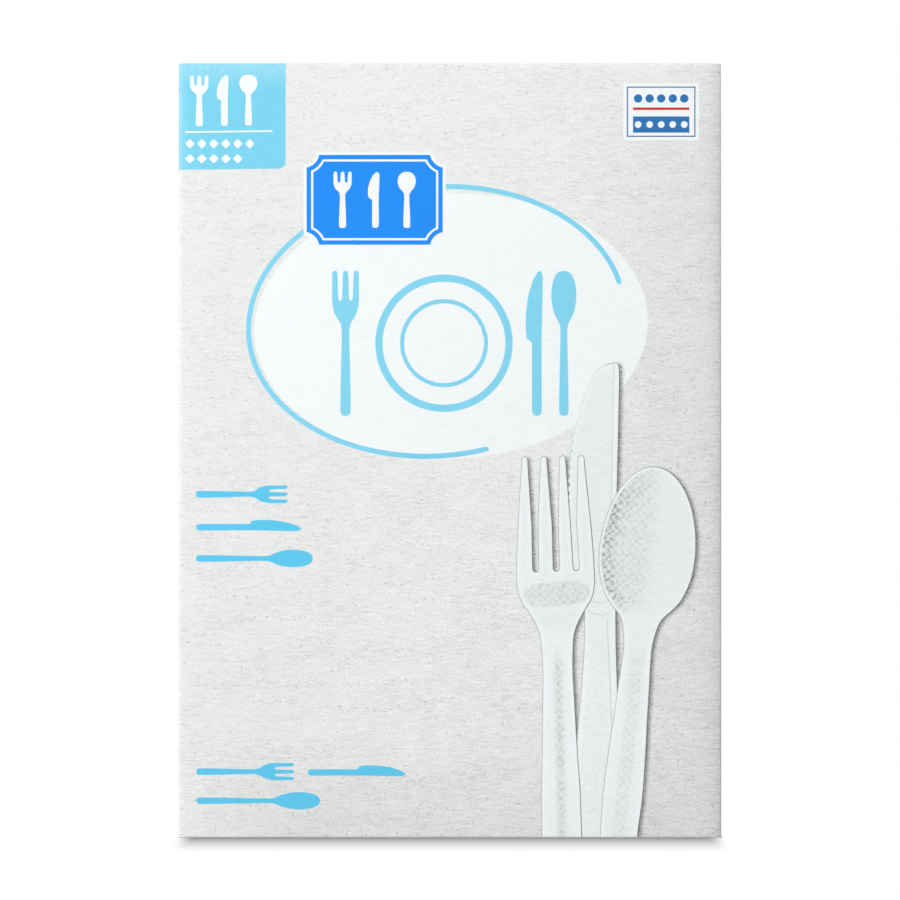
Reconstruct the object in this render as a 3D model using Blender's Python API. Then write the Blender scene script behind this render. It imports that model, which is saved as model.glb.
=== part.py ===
"""A sealed paperboard carton of plastic cutlery, modelled closed and full.

Metres, +Z up, standing on its bottom flap. The origin is the centre of its box at the base, and
the printed front faces -Y.

The carton is one blank of board. It is folded round into a tube whose joint is glued at the back
left edge, and each end is shut by four flaps that are folded in and glued one on another: two
short ones from the side panels, then the inner long one from the back panel, then the outer long
one from the front panel. Nothing inside can be seen, so carton and contents are one solid. Its
outside has the true form of the folded board: round folds, flaps set back from the sides, one
board's step from layer to layer, the tube's small raw corners between the flaps, and the step of
the glued joint.
"""

import math

import bmesh
import bpy
from mathutils import Vector

# Overall sizes, outside the folded board
WIDTH = 0.127
DEPTH = 0.076
HEIGHT = 0.181

# The board and how it folds
BOARD = 0.0005
FOLD_RADIUS = 0.0010
FOLD_STEPS = 6

# How far the long flaps stop short of the side folds
LONG_FLAP_CLEARANCE = 0.0002
# How far the outer flaps' raw edges stop short of the back fold
OUTER_FLAP_CLEARANCE = 0.0008
# How far the left panel's raw edge stops short of the fold at the glued joint
JOINT_CLEARANCE = 0.0004
# How far the short flaps stop short of that raw edge, and as far from the front
SHORT_FLAP_CLEARANCE = 0.0003
# How deep the tube's raw corners lie inside the outer flaps
CORNER_DROP = 0.0003

# The flaps' raw side edges, from the middle of the carton
LONG_FLAP_REACH = WIDTH / 2 - FOLD_RADIUS - BOARD - LONG_FLAP_CLEARANCE
SHORT_FLAP_REACH = DEPTH / 2 - FOLD_RADIUS - JOINT_CLEARANCE - SHORT_FLAP_CLEARANCE

# How far a trimming tool runs past what it trims
TOOL_OVERRUN = 0.010

BOARD_COLOUR = (0.83, 0.83, 0.80, 1.0)
BOARD_ROUGHNESS = 0.55


def clear_scene():
    """Removes every object of the startup scene."""
    for old in list(bpy.data.objects):
        bpy.data.objects.remove(old, do_unlink=True)


def fold(centre, start_degrees):
    """The outside of a fold: a quarter turn about the centre, anticlockwise from the start."""
    points = []
    for step in range(FOLD_STEPS + 1):
        angle = math.radians(start_degrees + 90 * step / FOLD_STEPS)
        across = centre[0] + FOLD_RADIUS * math.cos(angle)
        up = centre[1] + FOLD_RADIUS * math.sin(angle)
        points.append((across, up))
    return points


def tube_plan():
    """The tube from above, as (x, y): three round folds, and the glued joint at the back left.

    At the joint the back panel folds round into a strip that is glued inside the left panel. The
    left panel's raw edge stands one board proud of the strip and stops short of the fold.
    """
    right = WIDTH / 2 - FOLD_RADIUS
    back = DEPTH / 2 - FOLD_RADIUS
    strip_face = BOARD - WIDTH / 2
    raw_edge = back - JOINT_CLEARANCE
    return (
        fold((right, -back), -90)
        + fold((right, back), 0)
        + fold((strip_face + FOLD_RADIUS, back), 90)
        + [(strip_face, raw_edge), (-WIDTH / 2, raw_edge)]
        + fold((-right, -back), 180)
    )


def short_flap_trim():
    """What the short flaps' folds take from an end of the tube, as (x, depth inside the end).

    The side panels fold over into the short flaps, which lie under both long flaps.
    """
    side = WIDTH / 2 - FOLD_RADIUS
    past_side = WIDTH / 2 + TOOL_OVERRUN
    fold_depth = 2 * BOARD + FOLD_RADIUS
    return (
        [(-past_side, fold_depth)]
        + fold((-side, fold_depth), 180)
        + fold((side, fold_depth), -90)
        + [(past_side, fold_depth), (past_side, -TOOL_OVERRUN), (-past_side, -TOOL_OVERRUN)]
    )


def long_flap_trim():
    """The room for the long flaps and their folds in an end of the tube, drawn the same way."""
    fold_depth = BOARD + FOLD_RADIUS
    return [
        (-LONG_FLAP_REACH, fold_depth),
        (LONG_FLAP_REACH, fold_depth),
        (LONG_FLAP_REACH, -TOOL_OVERRUN),
        (-LONG_FLAP_REACH, -TOOL_OVERRUN),
    ]


def long_flap_section():
    """The front and back panels and their long flaps, cut from front to back, as (y, z).

    The front panel folds over at each end as the outer flap. The back panel folds over one board
    deeper as the inner flap. The outer flap's raw edge lies on it, just short of the back fold.
    """
    front = FOLD_RADIUS - DEPTH / 2
    back = DEPTH / 2 - FOLD_RADIUS
    raw_edge = back - OUTER_FLAP_CLEARANCE
    inner_fold = BOARD + FOLD_RADIUS
    return (
        fold((front, FOLD_RADIUS), 180)
        + [(raw_edge, 0), (raw_edge, BOARD)]
        + fold((back, inner_fold), -90)
        + fold((back, HEIGHT - inner_fold), 0)
        + [(raw_edge, HEIGHT - BOARD), (raw_edge, HEIGHT)]
        + fold((front, HEIGHT - FOLD_RADIUS), 90)
    )


def prism(name, outline, placed, low, high):
    """The outline, extruded into a closed solid from low to high along the third direction.

    placed(first, second, along) gives a point of it in x, y and z.
    """
    mesh = bpy.data.meshes.new(name)
    shape = bmesh.new()
    ring = [shape.verts.new(placed(first, second, low)) for first, second in outline]
    end = shape.faces.new(ring)
    grown = bmesh.ops.extrude_face_region(shape, geom=[end])["geom"]
    far_end = [part for part in grown if isinstance(part, bmesh.types.BMVert)]
    travel = Vector(placed(0, 0, high)) - Vector(placed(0, 0, low))
    bmesh.ops.translate(shape, verts=far_end, vec=travel)
    bmesh.ops.recalc_face_normals(shape, faces=shape.faces)
    shape.to_mesh(mesh)
    shape.free()
    solid = bpy.data.objects.new(name, mesh)
    bpy.context.scene.collection.objects.link(solid)
    return solid


def combine(solid, tool, operation):
    """Trims or joins a solid with a tool, which then counts as a hidden helper."""
    step = solid.modifiers.new(tool.name, "BOOLEAN")
    step.operation = operation
    step.object = tool
    step.solver = "EXACT"
    tool.hide_render = True
    tool.display_type = "WIRE"


def board_material():
    """Pale coated board."""
    board = bpy.data.materials.new("pale_board")
    board.use_nodes = True
    surface = board.node_tree.nodes["Principled BSDF"]
    surface.inputs["Base Color"].default_value = BOARD_COLOUR
    surface.inputs["Roughness"].default_value = BOARD_ROUGHNESS
    surface.inputs["Metallic"].default_value = 0.0
    return board


def trim_both_ends(carton, name, outline, reach):
    """Takes the outline from the tube's top and bottom, as far out as reach to front and back."""
    at_top = prism(
        "top_" + name, outline, lambda x, depth, y: (x, y, HEIGHT - depth), -reach, reach
    )
    at_bottom = prism("bottom_" + name, outline, lambda x, depth, y: (x, y, depth), -reach, reach)
    combine(carton, at_top, "DIFFERENCE")
    combine(carton, at_bottom, "DIFFERENCE")


def build_carton():
    """The tube up to its raw corners, trimmed to the short flaps, and joined to the long ones."""
    carton = prism(
        "carton", tube_plan(), lambda x, y, z: (x, y, z), CORNER_DROP, HEIGHT - CORNER_DROP
    )
    trim_both_ends(carton, "short_flap_trim", short_flap_trim(), SHORT_FLAP_REACH)
    trim_both_ends(carton, "long_flap_trim", long_flap_trim(), DEPTH / 2 + TOOL_OVERRUN)
    long_flaps = prism(
        "long_flaps",
        long_flap_section(),
        lambda y, z, x: (x, y, z),
        -LONG_FLAP_REACH,
        LONG_FLAP_REACH,
    )
    combine(carton, long_flaps, "UNION")
    carton.data.materials.append(board_material())


clear_scene()
build_carton()
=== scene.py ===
# %% [markdown]
# # A sealed carton of plastic cutlery
#
# The real pack is one blank of coated board, printed flat, folded round into a tube and glued
# shut over its contents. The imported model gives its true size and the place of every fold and
# flap. This script puts the look on it: six sheets of board that follow those folds, and one
# printed finish.
#
# A carton could be a bevelled cube, but then its flaps, raw edges and drawn-in folds would be
# missing. Here each panel is a surface worked out from two flat coordinates, across and up the
# unfolded blank, so the print can be drawn in the same coordinates as on the real flat sheet.

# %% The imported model
import functools
import math

import bpy
import numpy as np
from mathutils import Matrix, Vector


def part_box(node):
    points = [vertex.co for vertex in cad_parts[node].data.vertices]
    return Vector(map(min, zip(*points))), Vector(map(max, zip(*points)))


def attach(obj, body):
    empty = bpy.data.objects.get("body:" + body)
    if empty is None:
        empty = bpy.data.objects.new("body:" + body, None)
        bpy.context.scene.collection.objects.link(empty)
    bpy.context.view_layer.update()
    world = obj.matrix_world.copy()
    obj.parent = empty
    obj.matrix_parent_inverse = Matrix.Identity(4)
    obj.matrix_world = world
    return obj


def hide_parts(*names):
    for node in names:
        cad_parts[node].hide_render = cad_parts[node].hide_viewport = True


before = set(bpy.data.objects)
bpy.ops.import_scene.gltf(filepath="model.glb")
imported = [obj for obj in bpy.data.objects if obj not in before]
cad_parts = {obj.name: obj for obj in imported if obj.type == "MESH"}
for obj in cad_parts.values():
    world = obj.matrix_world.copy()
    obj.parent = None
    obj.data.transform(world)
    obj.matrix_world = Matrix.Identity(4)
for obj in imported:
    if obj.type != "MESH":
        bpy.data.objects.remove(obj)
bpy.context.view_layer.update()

low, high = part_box("carton")
MM = 0.001
WIDTH = (high.x - low.x) / MM
DEPTH = (high.y - low.y) / MM
HEIGHT = (high.z - low.z) / MM
print(f"carton {WIDTH:.1f} x {DEPTH:.1f} x {HEIGHT:.1f} mm")

# %% [markdown]
# ## The camera
#
# The photograph looks straight at the front from its middle height, from so far away that no
# side shows. A long lens at that distance gives the same flat view. The front takes up a known
# share of the picture's width, which sets how far the camera stands. The camera is a hair to the
# left of the middle, as the pack is a hair to the right in the photograph.

# %% Camera
LENS = 200.0
SENSOR = 36.0
FACE_SHARE = 0.604
# How far the camera stands beside and above the middle of the front, in millimetres
ASIDE, ABOVE = -0.10, 0.05

camera_away = LENS / SENSOR * WIDTH / FACE_SHARE * MM
camera = bpy.data.objects.new("camera", bpy.data.cameras.new("camera"))
camera.data.lens = LENS
camera.data.sensor_width = SENSOR
camera.data.clip_end = 20
camera.location = (ASIDE * MM, low.y - camera_away, (HEIGHT / 2 + ABOVE) * MM)
camera.rotation_euler = (math.pi / 2, 0, 0)
bpy.context.scene.collection.objects.link(camera)
bpy.context.scene.camera = camera
bpy.context.scene.view_settings.view_transform = "Standard"
print(f"camera {camera_away / MM:.0f} mm in front of the face")

# %% [markdown]
# ## Writing node trees
#
# Every finish here is a formula: a distance, turned into a mask, turned into a colour. Nodes
# wired by hand read badly in code, so a small helper adds a node and hands back its output, and
# a formula becomes a line.

# %% A helper for node trees
class Recipe:
    """Adds nodes to one tree. A value given to it is either a plain number or another output."""

    def __init__(self, tree):
        self.tree = tree

    def node(self, kind, inputs=(), **settings):
        """Adds a node, gives it its settings and feeds its inputs, named or numbered."""
        made = self.tree.nodes.new(kind)
        for name, value in settings.items():
            setattr(made, name, value)
        for socket, value in dict(inputs).items():
            self.feed(made.inputs[socket], value)
        return made

    def feed(self, socket, value):
        """Wires an output into a socket, or sets a plain value on it."""
        if isinstance(value, bpy.types.NodeSocket):
            self.tree.links.new(value, socket)
        else:
            socket.default_value = value

    def maths(self, operation, *values):
        """One sum of one, two or three values."""
        return self.node("ShaderNodeMath", enumerate(values), operation=operation).outputs[0]

    plus = functools.partialmethod(maths, "ADD")
    minus = functools.partialmethod(maths, "SUBTRACT")
    times = functools.partialmethod(maths, "MULTIPLY")
    times_plus = functools.partialmethod(maths, "MULTIPLY_ADD")
    over = functools.partialmethod(maths, "DIVIDE")
    most = functools.partialmethod(maths, "MAXIMUM")
    least = functools.partialmethod(maths, "MINIMUM")
    size = functools.partialmethod(maths, "ABSOLUTE")

    def step(self, value, start, end, low=0.0, high=1.0):
        """Goes smoothly from low to high while value goes from start to end."""
        sockets = {"Value": value, 1: start, 2: end, 3: low, 4: high}
        made = self.node("ShaderNodeMapRange", sockets, interpolation_type="SMOOTHSTEP")
        return made.outputs[0]

    def mix(self, share, first, second):
        """The first colour, giving way to the second as share goes from 0 to 1."""
        sockets = {0: share, 6: first, 7: second}
        return self.node("ShaderNodeMix", sockets, data_type="RGBA").outputs[2]

    def shade(self, colour, factor):
        """The colour, times a factor."""
        if isinstance(colour, tuple):
            colour = colour[:3]
        made = self.node("ShaderNodeVectorMath", {0: colour}, operation="SCALE")
        self.feed(made.inputs["Scale"], factor)
        return made.outputs[0]

    def stretch(self, place, scales):
        """A place, times a scale of its own in each direction."""
        made = self.node("ShaderNodeVectorMath", {0: place, 1: scales}, operation="MULTIPLY")
        return made.outputs[0]

    def noise(self, place, scale, detail=2.0, roughness=0.5):
        """Soft random blotches from 0 to 1, so many to the metre at this scale."""
        sockets = {"Vector": place, "Scale": scale, "Detail": detail, "Roughness": roughness}
        return self.node("ShaderNodeTexNoise", sockets).outputs[0]

    def attribute(self, name, output="Fac"):
        """A value that the mesh carries at every point or face."""
        return self.node("ShaderNodeAttribute", attribute_name=name).outputs[output]

    def split(self, vector):
        """The three parts of a vector."""
        return self.node("ShaderNodeSeparateXYZ", {0: vector}).outputs

    def join(self, x, y, z=0.0):
        """A vector from its parts."""
        return self.node("ShaderNodeCombineXYZ", {0: x, 1: y, 2: z}).outputs[0]


def new_group(name, inputs, outputs):
    """A node group with its named sockets, as (group, recipe, its inputs, its output node)."""
    group = bpy.data.node_groups.new(name, "ShaderNodeTree")
    for direction, sockets in (("INPUT", inputs), ("OUTPUT", outputs)):
        for socket, kind in sockets.items():
            group.interface.new_socket(name=socket, in_out=direction, socket_type=kind)
    recipe = Recipe(group)
    return group, recipe, recipe.node("NodeGroupInput").outputs, recipe.node("NodeGroupOutput")


# %% [markdown]
# ## Studio
#
# The pack stands on a white table in white surroundings, as in a shop's picture: nothing shows
# but the pack and a short grey shadow along its foot. A real softbox in the upper left gives the
# face most of its fall from light to shade and catches the folds; the rest of that fall is painted
# light and shade in the front's print. The table glows by itself, so that it stays white to the
# horizon, and the shadow near the foot is painted shade in that glow, a formula of the distance.

# %% White surroundings
SKY_FILL = 0.16
world = bpy.data.worlds.new("white surroundings")
world.use_nodes = True
sky = Recipe(world.node_tree)
world.node_tree.nodes.clear()
seen = sky.node("ShaderNodeLightPath").outputs["Is Camera Ray"]
strength = sky.times_plus(seen, 1.0 - SKY_FILL, SKY_FILL)
background = sky.node("ShaderNodeBackground", {"Color": (1, 1, 1, 1), "Strength": strength})
sky.node("ShaderNodeOutputWorld", {0: background.outputs[0]})
bpy.context.scene.world = world
print(f"surroundings light the pack with {SKY_FILL:.0%} of the white that the camera sees")

# %% Softboxes
def softbox(name, place, target, size, power):
    """A square light at place, turned to face target."""
    lamp = bpy.data.lights.new(name, "AREA")
    lamp.shape = "SQUARE"
    lamp.size = size
    lamp.energy = power
    light = bpy.data.objects.new(name, lamp)
    light.location = place
    away = [a - b for a, b in zip(place, target)]
    across = math.atan2(away[0], -away[1])
    above = math.atan2(away[2], math.hypot(away[0], away[1]))
    light.rotation_euler = (math.pi / 2 - above, 0, across)
    light.visible_camera = False
    bpy.context.scene.collection.objects.link(light)
    print(f"{name}: {power} W, {size / MM:.0f} mm wide")


FACE_MIDDLE = (0, low.y, HEIGHT * MM / 2)
softbox("key softbox", (-0.62, -0.70, 0.20), FACE_MIDDLE, 0.30, 5.5)
softbox("top softbox", (0.20, -0.50, 0.60), FACE_MIDDLE, 0.35, 1.38)
# These two stand behind the face and light only its folds, the sides, the top and the back
BODY_MIDDLE = (0, 0, HEIGHT * MM / 2)
softbox("back softbox", (0.55, 0.62, 0.40), BODY_MIDDLE, 0.60, 6.0)
softbox("overhead softbox", (-0.15, 0.12, 0.95), BODY_MIDDLE, 0.50, 3.0)

# %% The table
# Half its width, in metres
FAR_EDGE = 4
corners = [(-FAR_EDGE, -FAR_EDGE, 0), (FAR_EDGE, -FAR_EDGE, 0)]
corners += [(FAR_EDGE, FAR_EDGE, 0), (-FAR_EDGE, FAR_EDGE, 0)]

table_mesh = bpy.data.meshes.new("studio_table")
table_mesh.from_pydata(corners, [], [(0, 1, 2, 3)])
table = bpy.data.objects.new("studio_table", table_mesh)
bpy.context.scene.collection.objects.link(table)
table_finish = bpy.data.materials.new("white table")
table_finish.use_nodes = True
table_finish.node_tree.nodes.clear()
table.data.materials.append(table_finish)
print(f"table {2 * FAR_EDGE} m wide")

# %% The shade round the pack's foot
SHADE_DEPTH = 0.72
# In front of the pack the shade reaches this far and fades at its ends, over these places
SHADE_REACH = 0.044
SHADE_ENDS = (0.0597, 0.0643)
# Beside the pack it widens from nearly nothing by this share towards the back
LEAST_SPREAD = 0.0002
SIDE_SPREAD = 0.05
BACK_REACH = 0.012
FADE_POWER = 1.5
# How brightly the table lights the pack
TABLE_FILL = 0.58
# The pack's foot sees its own shade: how deep that is, and over what distance
FOOT_SHADE = 0.05
FOOT_REACH = 0.050

top = Recipe(table_finish.node_tree)
spot = top.split(top.node("ShaderNodeTexCoord").outputs["Object"])
from_middle = top.size(spot[0])
before = top.minus(low.y, spot[1])
ahead = top.over(before, SHADE_REACH)
ends = top.step(from_middle, SHADE_ENDS[1], SHADE_ENDS[0])
spread = top.most(top.times(before, -SIDE_SPREAD), LEAST_SPREAD)
beside = top.over(top.minus(from_middle, high.x), spread)
behind = top.over(top.minus(spot[1], high.y), BACK_REACH)
around = top.most(beside, behind)


def falling(distance):
    """1 at no distance: 1 less the distance, to FADE_POWER, and 0 past a distance of 1."""
    kept = top.least(top.most(distance, 0.0), 1.0)
    return top.maths("POWER", top.minus(1.0, kept), FADE_POWER)


in_front = top.maths("GREATER_THAN", before, 0.0)
front_shade = top.times(falling(ahead), ends)
rear_shade = falling(around)
shadow = top.times_plus(top.minus(front_shade, rear_shade), in_front, rear_shade)
shadow = top.times(shadow, SHADE_DEPTH)
seen = top.node("ShaderNodeLightPath").outputs["Is Camera Ray"]
bright = top.minus(1.0, shadow)
shaded = top.step(before, 0.0, FOOT_REACH, TABLE_FILL * (1.0 - FOOT_SHADE), TABLE_FILL)
unseen = top.minus(1.0, seen)
glow = top.plus(top.times(seen, bright), top.times(unseen, shaded))
light = top.node("ShaderNodeEmission", {"Color": (1, 1, 1, 1), "Strength": glow})
top.node("ShaderNodeOutputMaterial", {0: light.outputs[0]})
print(f"shade reaches {SHADE_REACH / MM:.0f} mm in front of the pack")

# %% [markdown]
# ## Board
#
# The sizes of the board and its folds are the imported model's, apart from the raw corners, which
# lie less deep, so that they show. Everything is in millimetres here and becomes metres in a mesh.

# %% Sizes of the board and its folds
BOARD = 0.5
FOLD_RADIUS = 1.0
# The folds are pressed a little squarer than a circle: this power of the turn's sine and cosine
FOLD_POWER = 0.4
# A turn this close to a quarter counts as one
FULL_TURN = 1.5707
EIGHTH_TURN = FOLD_RADIUS * math.pi / 4
QUARTER_TURN = FOLD_RADIUS * math.pi / 2
HALF_WIDTH = WIDTH / 2
HALF_DEPTH = DEPTH / 2
HALF_HEIGHT = HEIGHT / 2
# How far raw edges stop short: both kinds of flap, the outer flap's end and the left panel
LONG_CLEARANCE, SHORT_CLEARANCE, FLAP_CLEARANCE, JOINT_CLEARANCE = 0.2, 0.3, 0.8, 0.4
# Where those edges are, from the middle of the pack
LONG_REACH = HALF_WIDTH - FOLD_RADIUS - BOARD - LONG_CLEARANCE
FLAP_EDGE = HALF_DEPTH - FOLD_RADIUS - FLAP_CLEARANCE
JOINT_EDGE = HALF_DEPTH - FOLD_RADIUS - JOINT_CLEARANCE
SHORT_REACH = JOINT_EDGE - SHORT_CLEARANCE
# The raw corners of the tube lie this deep inside the outer flaps
CORNER_DROP = 0.08
# How far in from the panels the corners' inner ends are
CORNER_INNER = HALF_WIDTH - LONG_REACH
# How far a flap runs on past its fold before the outer flap covers it
LEDGE = CORNER_INNER - FOLD_RADIUS
FOLD_STEPS = 6
print(f"flaps reach {LONG_REACH:.1f} and {SHORT_REACH:.1f} mm from the middle")

# %% [markdown]
# The full pack pushes its panels out and the creases hold the corners in, so a panel is never
# dead flat: over the last few millimetres it curves back to its fold. That curve is what shades
# the right edge of the face in the photograph. One function draws every point in by how near it
# is to a fold, so sheets that meet stay together.

# %% How the full carton settles
# How far the front and back curve in at their folds, in millimetres, and over what distance
DRAWN_IN = {"left": 0.15, "right": 1.0, "top": 0.34, "foot": 0.06}
DRAW_LENGTH = 1.9
# The sides and ends are narrower panels and curve less, by this share
NARROW = 0.15
# Only the outer shell moves: this power of the distance from the middle
SHELL = 16
# How much lower the rim of the arch over a whole panel lies than its middle
SWELL = 0.12


def settle(points):
    """Draws the panels in towards their folds.

    A panel's point moves inwards by the drawn-in depth times e to the power minus its distance
    from the fold over DRAW_LENGTH, for each fold near it, and by a shallow arch over the whole
    panel. The move is weighted by a high power of how far out the point is, so that it acts on
    the panel which faces that way.
    """
    x, y, z = (points / MM).T
    from_side = HALF_WIDTH - np.abs(x)
    from_front = HALF_DEPTH - np.abs(y)
    level = 2 * z / HEIGHT - 1
    ends = DRAWN_IN["top"] * np.exp((z - HEIGHT) / DRAW_LENGTH)
    ends = ends + DRAWN_IN["foot"] * np.exp(-z / DRAW_LENGTH)
    sides = np.where(x > 0, DRAWN_IN["right"], DRAWN_IN["left"])

    def inwards(value, half, from_fold, flatness):
        """How far a point moves in along one direction, with its sign."""
        near_fold = sides * np.exp(-from_fold / DRAW_LENGTH)
        depth = near_fold + ends + SWELL * np.maximum(level**2, flatness**2)
        return np.sign(value) * np.minimum(np.abs(value) / half, 1) ** SHELL * depth

    new_x = x - NARROW * inwards(x, HALF_WIDTH, from_front, y / HALF_DEPTH)
    new_y = y - inwards(y, HALF_DEPTH, from_side, x / HALF_WIDTH)
    rim = np.exp(-np.minimum(from_side, from_front) / DRAW_LENGTH)
    drop = np.where(level > 0, DRAWN_IN["top"], DRAWN_IN["foot"]) * NARROW * rim
    new_z = z - np.sign(level) * np.abs(level) ** SHELL * drop
    return np.stack([new_x, new_y, new_z], 1) * MM


# %% [markdown]
# ## Sheets of board
#
# A sheet is made of patches: grids of points in the panel's own directions, right, up and out,
# with the flat coordinates of the blank carried along. Patches share the points along their
# edges, and those are merged, so a sheet is one connected surface. Faces that show the cut
# thickness of the board are marked raw.

# %% Bending board
def bend(distance, start):
    """Carries a flat coordinate round the fold that begins at start on either side of the middle.

    Up to start the board is flat. Past it the turn is (distance - start) / fold radius, up to a
    quarter turn: the board reaches out to start + radius x sine to FOLD_POWER and lies radius x
    (1 - cosine to FOLD_POWER) deep. Past the quarter turn it runs straight inwards.
    """
    past = np.maximum(np.abs(distance) - start, 0)
    turn = np.minimum(past / FOLD_RADIUS, math.pi / 2)
    sine, cosine = np.sin(turn) ** FOLD_POWER, np.maximum(np.cos(turn), 0) ** FOLD_POWER
    full = turn > FULL_TURN
    sine, cosine = np.where(full, 1, sine), np.where(full, 0, cosine)
    reach = np.minimum(np.abs(distance), start) + FOLD_RADIUS * sine
    depth = FOLD_RADIUS * (1 - cosine) + past - turn * FOLD_RADIUS
    return np.sign(distance) * reach, -depth


print(f"a fold of {FOLD_RADIUS} mm takes up {QUARTER_TURN:.2f} mm of board")

# %% Grid lines
def stations(start, end, pitch, finer=()):
    """Grid lines from start to end, at most pitch apart, and closer inside each finer window."""
    marks = {start, end}
    for first, last, _ in finer:
        marks |= {mark for mark in (first, last) if start < mark < end}
    marks = sorted(marks)
    lines = [np.array([start])]
    for first, last in zip(marks, marks[1:]):
        inside = [p for a, b, p in finer if a <= (first + last) / 2 <= b]
        count = math.ceil((last - first) / min([pitch, *inside]) - 1e-9)
        lines.append(np.linspace(first, last, count + 1)[1:])
    return np.concatenate(lines)


# How wide the strips with closer lines at a panel's ends are, and how close the lines
CLOSE_LINES = [(8, 0.8), (3, 0.4)]


def panel_lines(start, end, pitch, finer=()):
    """Grid lines of a panel: wide apart in its middle and close near both ends, where it curves."""
    windows = [(start, start + width, fine) for width, fine in CLOSE_LINES]
    windows += [(end - width, end, fine) for width, fine in CLOSE_LINES]
    return stations(start, end, pitch, [*windows, *finer])


# %% A sheet made of patches
# Edges that turn by more than this are drawn sharp, as those of raw board are
SHARP_ANGLE = math.radians(35)


class Sheet:
    """Gathers patches of one panel and turns them into a mesh."""

    def __init__(self, right, out, away, blank_shift=0.0):
        self.frame = np.array([(*right, 0), (0, 0, 1), (*out, 0)], float)
        self.middle = np.array([0, 0, HALF_HEIGHT]) + np.array([*out, 0]) * away
        self.blank_shift = blank_shift
        self.points, self.flat, self.faces, self.raw = [], [], [], []
        self.count = 0

    def patch(self, right, up, out, across, along, raw=False):
        """A grid of points. right, up and out are places, across and along the blank's."""
        grid = [np.asarray(a, float) for a in (right, up, out, across, along)]
        grid = np.broadcast_arrays(*grid)
        rows, columns = grid[0].shape
        places = np.stack([g.ravel() for g in grid[:3]], 1)
        self.points.append(places @ self.frame + self.middle)
        flat = np.stack([grid[3].ravel() + self.blank_shift, grid[4].ravel()], 1)
        self.flat.append(flat)
        index = self.count + np.arange(rows * columns).reshape(rows, columns)
        corners = (index[:-1, :-1], index[:-1, 1:], index[1:, 1:], index[1:, :-1])
        faces = np.stack([c.ravel() for c in corners], 1)
        self.faces.append(faces)
        self.raw.append(np.full(len(faces), float(raw)))
        self.count += rows * columns

    def make(self, name):
        """Merges points that lie together, settles them and builds the object."""
        points = np.concatenate(self.points)
        flat = np.concatenate(self.flat)
        _, first, merged = np.unique(
            np.round(points, 4), axis=0, return_index=True, return_inverse=True
        )
        faces = merged.reshape(-1)[np.concatenate(self.faces)]
        polygons, raw = [], []
        for corners, cut in zip(faces.tolist(), np.concatenate(self.raw)):
            kept = list(dict.fromkeys(corners))
            if len(kept) > 2:
                polygons.append(kept)
                raw.append(cut)
        mesh = bpy.data.meshes.new(name)
        mesh.from_pydata(settle(points[first] * MM), [], polygons)
        mesh.update()
        mesh.shade_smooth()
        mesh.set_sharp_from_angle(angle=SHARP_ANGLE)
        mesh.attributes.new("raw", "FLOAT", "FACE")
        mesh.attributes["raw"].data.foreach_set("value", np.asarray(raw, np.float32))
        blank = np.concatenate([flat[first], np.zeros((len(first), 1))], 1) * MM
        mesh.attributes.new("blank", "FLOAT_VECTOR", "POINT")
        mesh.attributes["blank"].data.foreach_set("vector", blank.ravel().astype(np.float32))
        piece = bpy.data.objects.new(name, mesh)
        bpy.context.scene.collection.objects.link(piece)
        print(f"{name}: {sum(len(p) - 2 for p in polygons)} triangles")
        return piece, flat[first]


# %% [markdown]
# A panel's grid has three kinds of patch. Its face runs between the end folds. Within the
# flap's reach the board then bends over into the flap. Outside that reach, beyond the cuts at
# the flap's sides, the tube stands on as a small raw corner, with a top and a side of its own.

# %% Panels with their end folds and raw corners
def build_panel(sheet, across, start, drop, reach, fold_length, lines):
    """Fills a sheet with one panel.

    across are the flat grid lines, start where the side folds begin, drop how deep this panel's
    flaps lie, reach half the flaps' width and fold_length how much of the end folds it has.
    """
    reach_out, side_depth = bend(across, np.where(across > 0, start[1], start[0]))
    end_start = HALF_HEIGHT - drop - FOLD_RADIUS
    up = lines(-end_start, end_start)[:, None]
    sheet.patch(reach_out, up, side_depth, across, up)
    fold = np.linspace(0, fold_length, FOLD_STEPS + 1)
    if fold_length > QUARTER_TURN:
        fold = np.append(np.linspace(0, QUARTER_TURN, 2 * FOLD_STEPS + 1), fold_length)
    corner_top = HALF_HEIGHT - CORNER_DROP
    inside = np.abs(across) <= reach + 1e-6
    for end in (-1, 1):
        along = np.sort(end * (end_start + fold))[:, None]
        height, depth = bend(along, end_start)
        sheet.patch(reach_out[inside], height, depth, across[inside], along)
        for side in (-1, 1):
            corner = side * across >= reach - 1e-6
            rows = np.sort(np.array([end * end_start, end * corner_top]))[:, None]
            sheet.patch(reach_out[corner], rows, side_depth[corner], across[corner], rows)
            rim = np.array([[1.0], [0.0]])[::end]
            rim_out = reach_out[corner] * rim + side * reach * (1 - rim)
            rim_in = side_depth[corner] * rim - CORNER_INNER * (1 - rim)
            sheet.patch(rim_out, end * corner_top, rim_in, across[corner], end * corner_top, True)
            low_high = np.stack([np.minimum(np.abs(height[:, 0]), corner_top),
                                 np.full(len(height), corner_top)])
            order = np.argsort(depth[:, 0])[::side]
            wall = end * low_high[::end][:, order]
            wall_in = np.maximum(depth[order, 0], -CORNER_INNER)
            sheet.patch(side * reach, wall, wall_in, side * reach, along[order, 0], True)


# %% [markdown]
# ## The front
#
# The front panel carries the print, so its grid is fine, and finest where the drawing has
# narrow gaps.

# %% Front panel
# Strips of the front, from the middle, and how far apart the grid lines are in them
FINE_COLUMNS = [
    (-61.5, -44.5, 0.35), (-28.0, -21.0, 0.35), (15.2, 34.6, 0.33), (34.6, 58.5, 0.5),
]
FINE_ROWS = [
    (-84.5, -72.5, 0.3), (-31.0, -28.0, 0.45), (-28.0, -7.5, 0.3), (-3.0, 0.0, 0.4),
    (8.0, 44.0, 0.62), (66.5, 72.5, 0.4), (75.5, 88.0, 0.45),
]
PRINT_PITCH = 0.77

front_start = HALF_WIDTH - FOLD_RADIUS
side_start = HALF_DEPTH - FOLD_RADIUS


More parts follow.
